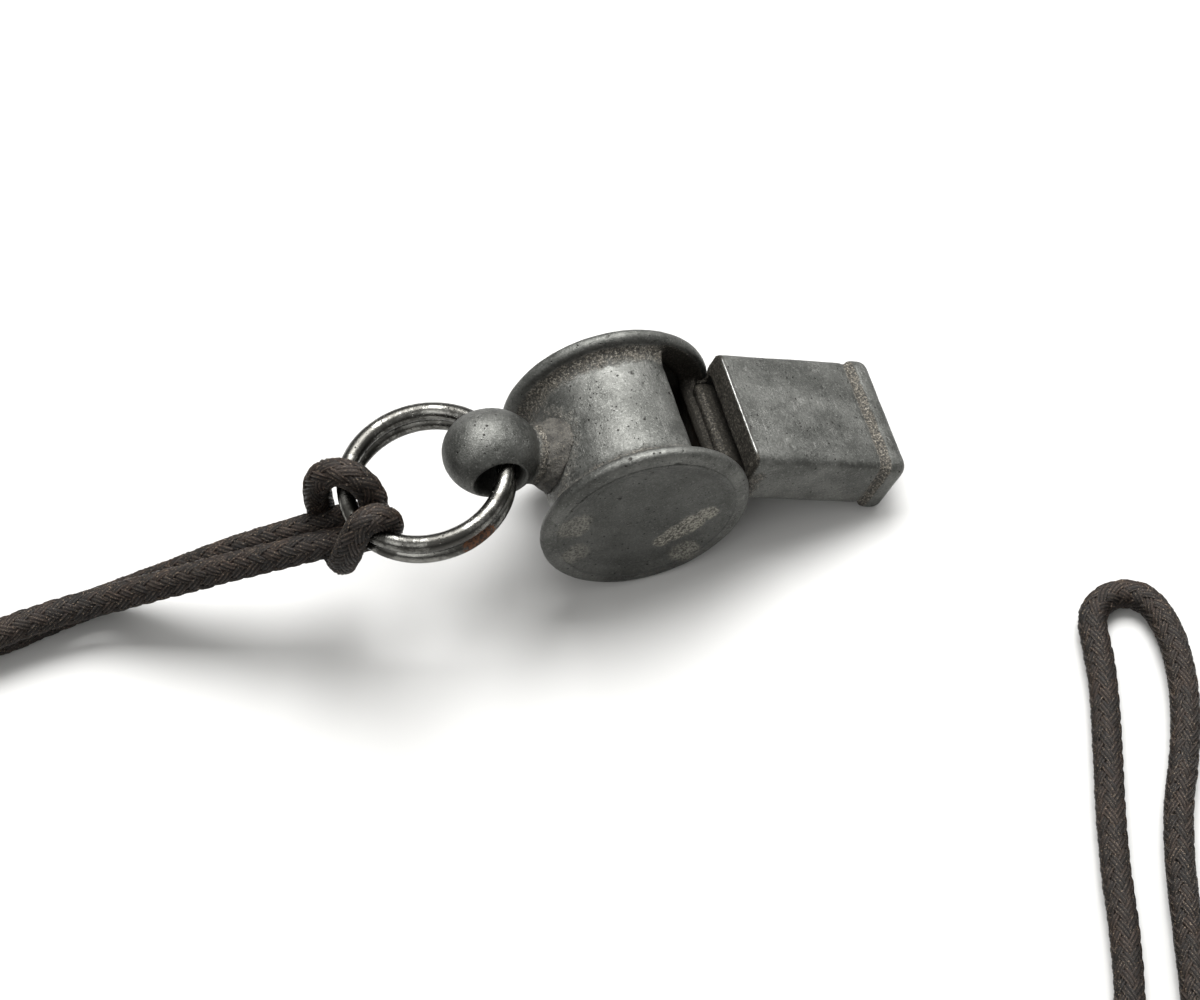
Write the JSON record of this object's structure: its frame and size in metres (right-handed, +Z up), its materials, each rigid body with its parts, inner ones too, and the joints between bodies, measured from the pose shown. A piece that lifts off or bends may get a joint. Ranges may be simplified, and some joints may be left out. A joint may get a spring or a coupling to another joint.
{
  "type": "training whistle",
  "caption": "Cast metal pea whistle with a beaded mouthpiece and a drilled ball lug, on a double-turn split ring with a braided neck lanyard hitched to it.",
  "frame": {"origin": "on the surface that the whistle lies on, under the middle of the whistle and its ring", "axes": "+Z up, +X towards the mouthpiece, +Y along the drum's axis, to the left of someone looking along +X"},
  "size_m": [0.1716, 0.1052, 0.0238],
  "materials": {
    "cast_metal": "old grey white metal, satin, worn bright on the edges",
    "end_disc": "smooth dark grey, rubbed",
    "solder": "rough, brownish, matte",
    "ring_steel": "worn nickel plate with spots of rust",
    "cork": "natural cork",
    "cord": "dark brown round braid with a silky sheen"
  },
  "bodies": {
    "whistle": {"barrel": "cast_metal", "left_end_disc": "end_disc", "right_end_disc": "end_disc", "left_disc_seam": "solder", "right_disc_seam": "solder", "mouthpiece": "cast_metal", "windway_floor": "cast_metal", "mouthpiece_solder": "solder", "lug": "cast_metal", "lug_solder": "solder", "lanyard_leg_far": "cord", "lanyard_leg_near": "cord", "lanyard_bight": "cord", "lanyard_coil": "cord"},
    "hanger": {"lanyard_hitch": "cord"},
    "ring": {"split_ring": "ring_steel"},
    "pea": {"cork_pea": "cork"}
  },
  "joints": [
    {"name": "lanyard_swing", "type": "hinge", "parent": "whistle", "child": "hanger", "pos_m": [-0.013, 0.001, 0.01894], "axis": [0, 1, 0], "range_deg": [-80, 150]},
    {"name": "ring_turn", "type": "hinge", "parent": "hanger", "child": "ring", "pos_m": [-0.02036, -0.00023, 0.01863], "axis": [-0.0499, 0.0447, 0.9978], "continuous": true},
    {"name": "pea_orbit", "type": "hinge", "parent": "whistle", "child": "pea", "pos_m": [0.00106, 0.001, 0.0115], "axis": [0, 1, 0], "continuous": true}
  ]
}
